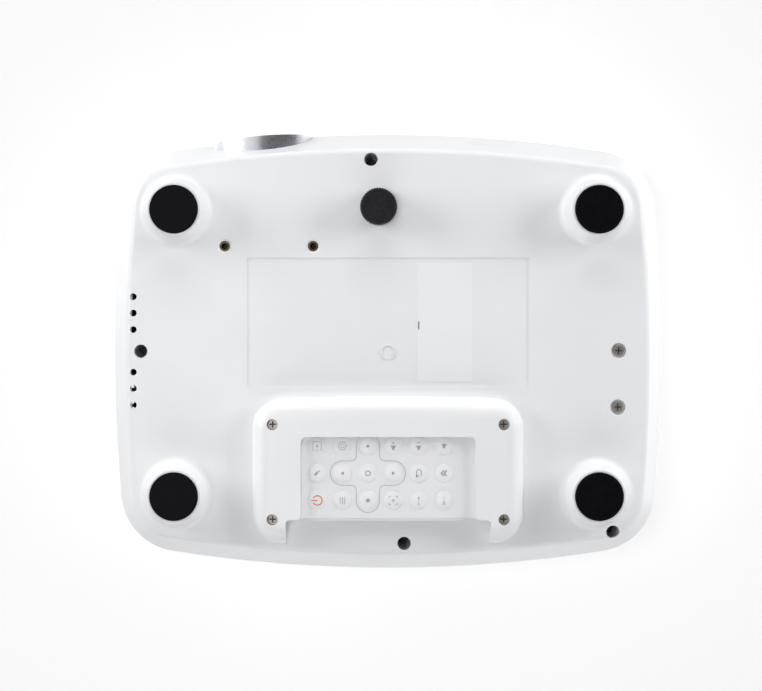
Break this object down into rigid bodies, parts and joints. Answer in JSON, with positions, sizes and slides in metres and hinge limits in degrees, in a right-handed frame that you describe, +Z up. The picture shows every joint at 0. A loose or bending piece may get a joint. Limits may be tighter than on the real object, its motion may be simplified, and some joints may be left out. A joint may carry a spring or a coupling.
{
  "type": "projector with disc drive",
  "caption": "Portable projector in a white casing with a slim disc drive tray, front lens dish, rubber feet, a levelling foot and a card remote stored under its base.",
  "frame": {"origin": "centre of the plane that the four feet stand on", "axes": "+X to the right seen from the front, +Y towards the rear, +Z up; the lens looks along -Y"},
  "size_m": [0.27, 0.214, 0.104],
  "materials": {
    "casing_white": "fine satin moulded plastic, cool white",
    "grille_white": "satin moulded plastic",
    "holder_white": "satin moulded plastic",
    "label_white": "blank white film label",
    "dish_metal": "silver lens dish with fine turned rings",
    "panel_dark": "dark grained plastic",
    "connector_metal": "plated connector shells",
    "inlet_black": "black moulded inlet",
    "pad_rubber": "black rubber",
    "insert_brass": "aged brass",
    "screw_steel": "dull plated steel",
    "inner_black": "black moulded plastic",
    "heat_sink_aluminium": "extruded fins",
    "optic_glass": "clear optical glass",
    "lens_glass": "coated lens glass",
    "board_green": "solder mask",
    "sheet_steel": "zinc plated sheet",
    "rod_chrome": "ground steel",
    "tray_dark": "dark grey moulded tray",
    "hub_dark": "dark hub with rubber ring",
    "sled_metal": "die-cast sled",
    "knob_dark": "dark knurled knob",
    "remote_white": "smooth white plastic",
    "remote_face_white": "white face film",
    "key_white": "white keys"
  },
  "bodies": {
    "base": {"lower_housing": "casing_white", "upper_housing": "casing_white", "lens_bezel": "dish_metal", "air_grilles": "grille_white", "rear_panel": "panel_dark", "io_connectors": "connector_metal", "ac_inlet": "inlet_black", "foot_pads": "pad_rubber", "threaded_inserts": "insert_brass", "case_screws": "screw_steel", "holder_bezel": "holder_white", "blank_label": "label_white", "optical_box": "inner_black", "led_module": "heat_sink_aluminium", "optics_glass": "optic_glass", "fan_frame": "inner_black", "circuit_boards": "board_green", "speakers": "inner_black", "drive_case": "sheet_steel", "stand_offs": "connector_metal", "focus_motor": "sheet_steel"},
    "lens": {"lens_barrel": "inner_black", "lens_glass": "lens_glass"},
    "focus_screw": {"focus_screw": "rod_chrome"},
    "fan": {"fan_rotor": "inner_black"},
    "tray": {"disc_tray": "tray_dark", "tray_bezel": "casing_white", "rods_and_stepper": "rod_chrome"},
    "rails": {"tray_rails": "sheet_steel"},
    "spindle": {"disc_hub": "hub_dark"},
    "sled": {"pickup_sled": "sled_metal"},
    "lead_screw": {"lead_screw": "rod_chrome"},
    "eject": {"eject_button": "grille_white"},
    "foot_stud": {"foot_stud": "rod_chrome"},
    "foot_knob": {"foot_knob": "knob_dark"},
    "remote": {"remote_case": "remote_white", "remote_face": "remote_face_white", "battery_tray": "remote_white"},
    "remote_key_01": {"remote_key_01": "key_white"},
    "remote_key_02": {"remote_key_02": "key_white"},
    "remote_key_03": {"remote_key_03": "key_white"},
    "remote_key_04": {"remote_key_04": "key_white"},
    "remote_key_05": {"remote_key_05": "key_white"},
    "remote_key_06": {"remote_key_06": "key_white"},
    "remote_key_07": {"remote_key_07": "key_white"},
    "remote_key_08": {"remote_key_08": "key_white"},
    "remote_key_09": {"remote_key_09": "key_white"},
    "remote_key_10": {"remote_key_10": "key_white"},
    "remote_key_11": {"remote_key_11": "key_white"},
    "remote_key_12": {"remote_key_12": "key_white"},
    "remote_key_13": {"remote_key_13": "key_white"},
    "remote_key_14": {"remote_key_14": "key_white"},
    "remote_key_15": {"remote_key_15": "key_white"},
    "remote_key_16": {"remote_key_16": "key_white"},
    "remote_key_17": {"remote_key_17": "key_white"},
    "remote_key_18": {"remote_key_18": "key_white"},
    "power_key": {"power_key": "key_white"},
    "source_key": {"source_key": "key_white"},
    "volume_down_key": {"volume_down_key": "key_white"},
    "volume_up_key": {"volume_up_key": "key_white"}
  },
  "joints": [
    {"name": "focus_turn", "type": "hinge", "parent": "base", "child": "focus_screw", "pos_m": [-0.035, -0.07, 0.05], "axis": [0, -1, 0], "range_deg": [0, 2166]},
    {"name": "lens_focus", "type": "slide", "parent": "base", "child": "lens", "axis": [0, -1, 0], "range_m": [0, 0.006]},
    {"name": "fan_spin", "type": "hinge", "parent": "base", "child": "fan", "pos_m": [-0.117, 0.0375, 0.066], "axis": [1, 0, 0], "continuous": true},
    {"name": "tray_slide", "type": "slide", "parent": "base", "child": "tray", "axis": [1, 0, 0], "range_m": [0, 0.125]},
    {"name": "rail_slide", "type": "slide", "parent": "base", "child": "rails", "axis": [1, 0, 0], "range_m": [0, 0.0626]},
    {"name": "disc_spin", "type": "hinge", "parent": "tray", "child": "spindle", "pos_m": [0.067, 0, 0.064], "axis": [0, 0, 1], "continuous": true},
    {"name": "lead_turn", "type": "hinge", "parent": "tray", "child": "lead_screw", "pos_m": [0.05342, -0.01358, 0.0618], "axis": [0.7071, -0.7071, 0], "range_deg": [0, 4090]},
    {"name": "sled_slide", "type": "slide", "parent": "tray", "child": "sled", "axis": [0.7071, -0.7071, 0], "range_m": [0, 0.034]},
    {"name": "eject_press", "type": "slide", "parent": "tray", "child": "eject", "axis": [-1, 0, 0], "range_m": [0, 0.0012], "stiffness_N_per_m": 400},
    {"name": "foot_extend", "type": "slide", "parent": "base", "child": "foot_stud", "axis": [0, 0, -1], "range_m": [0, 0.015]},
    {"name": "foot_turn", "type": "hinge", "parent": "foot_stud", "child": "foot_knob", "pos_m": [-0.0045, -0.0686, 0.007], "axis": [0, 0, -1], "range_deg": [0, 5415]},
    {"name": "remote_slide", "type": "slide", "parent": "base", "child": "remote", "axis": [0, 1, 0], "range_m": [0, 0.056]},
    {"name": "remote_key_01_press", "type": "slide", "parent": "remote", "child": "remote_key_01", "axis": [0, 0, 1], "range_m": [0, 0.0005], "stiffness_N_per_m": 1000},
    {"name": "remote_key_02_press", "type": "slide", "parent": "remote", "child": "remote_key_02", "axis": [0, 0, 1], "range_m": [0, 0.0005], "stiffness_N_per_m": 1000},
    {"name": "remote_key_03_press", "type": "slide", "parent": "remote", "child": "remote_key_03", "axis": [0, 0, 1], "range_m": [0, 0.0005], "stiffness_N_per_m": 1000},
    {"name": "remote_key_04_press", "type": "slide", "parent": "remote", "child": "remote_key_04", "axis": [0, 0, 1], "range_m": [0, 0.0005], "stiffness_N_per_m": 1000},
    {"name": "remote_key_05_press", "type": "slide", "parent": "remote", "child": "remote_key_05", "axis": [0, 0, 1], "range_m": [0, 0.0005], "stiffness_N_per_m": 1000},
    {"name": "remote_key_06_press", "type": "slide", "parent": "remote", "child": "remote_key_06", "axis": [0, 0, 1], "range_m": [0, 0.0005], "stiffness_N_per_m": 1000},
    {"name": "remote_key_07_press", "type": "slide", "parent": "remote", "child": "remote_key_07", "axis": [0, 0, 1], "range_m": [0, 0.0005], "stiffness_N_per_m": 1000},
    {"name": "remote_key_08_press", "type": "slide", "parent": "remote", "child": "remote_key_08", "axis": [0, 0, 1], "range_m": [0, 0.0005], "stiffness_N_per_m": 1000},
    {"name": "remote_key_09_press", "type": "slide", "parent": "remote", "child": "remote_key_09", "axis": [0, 0, 1], "range_m": [0, 0.0005], "stiffness_N_per_m": 1000},
    {"name": "remote_key_10_press", "type": "slide", "parent": "remote", "child": "remote_key_10", "axis": [0, 0, 1], "range_m": [0, 0.0005], "stiffness_N_per_m": 1000},
    {"name": "remote_key_11_press", "type": "slide", "parent": "remote", "child": "remote_key_11", "axis": [0, 0, 1], "range_m": [0, 0.0005], "stiffness_N_per_m": 1000},
    {"name": "remote_key_12_press", "type": "slide", "parent": "remote", "child": "remote_key_12", "axis": [0, 0, 1], "range_m": [0, 0.0005], "stiffness_N_per_m": 1000},
    {"name": "remote_key_13_press", "type": "slide", "parent": "remote", "child": "remote_key_13", "axis": [0, 0, 1], "range_m": [0, 0.0005], "stiffness_N_per_m": 1000},
    {"name": "remote_key_14_press", "type": "slide", "parent": "remote", "child": "remote_key_14", "axis": [0, 0, 1], "range_m": [0, 0.0005], "stiffness_N_per_m": 1000},
    {"name": "remote_key_15_press", "type": "slide", "parent": "remote", "child": "remote_key_15", "axis": [0, 0, 1], "range_m": [0, 0.0005], "stiffness_N_per_m": 1000},
    {"name": "remote_key_16_press", "type": "slide", "parent": "remote", "child": "remote_key_16", "axis": [0, 0, 1], "range_m": [0, 0.0005], "stiffness_N_per_m": 1000},
    {"name": "remote_key_17_press", "type": "slide", "parent": "remote", "child": "remote_key_17", "axis": [0, 0, 1], "range_m": [0, 0.0005], "stiffness_N_per_m": 1000},
    {"name": "remote_key_18_press", "type": "slide", "parent": "remote", "child": "remote_key_18", "axis": [0, 0, 1], "range_m": [0, 0.0005], "stiffness_N_per_m": 1000},
    {"name": "power_key_press", "type": "slide", "parent": "base", "child": "power_key", "axis": [0, 0, -1], "range_m": [0, 0.0005], "stiffness_N_per_m": 1000},
    {"name": "source_key_press", "type": "slide", "parent": "base", "child": "source_key", "axis": [0, 0, -1], "range_m": [0, 0.0005], "stiffness_N_per_m": 1000},
    {"name": "volume_down_key_press", "type": "slide", "parent": "base", "child": "volume_down_key", "axis": [0, 0, -1], "range_m": [0, 0.0005], "stiffness_N_per_m": 1000},
    {"name": "volume_up_key_press", "type": "slide", "parent": "base", "child": "volume_up_key", "axis": [0, 0, -1], "range_m": [0, 0.0005], "stiffness_N_per_m": 1000}
  ],
  "couplings": [
    {"joint": "focus_turn", "follows": "lens_focus", "rad_per_m": 6283.2},
    {"joint": "rail_slide", "follows": "tray_slide", "ratio": 0.5},
    {"joint": "lead_turn", "follows": "sled_slide", "rad_per_m": 2094.4},
    {"joint": "foot_turn", "follows": "foot_extend", "rad_per_m": 6283.2}
  ]
}
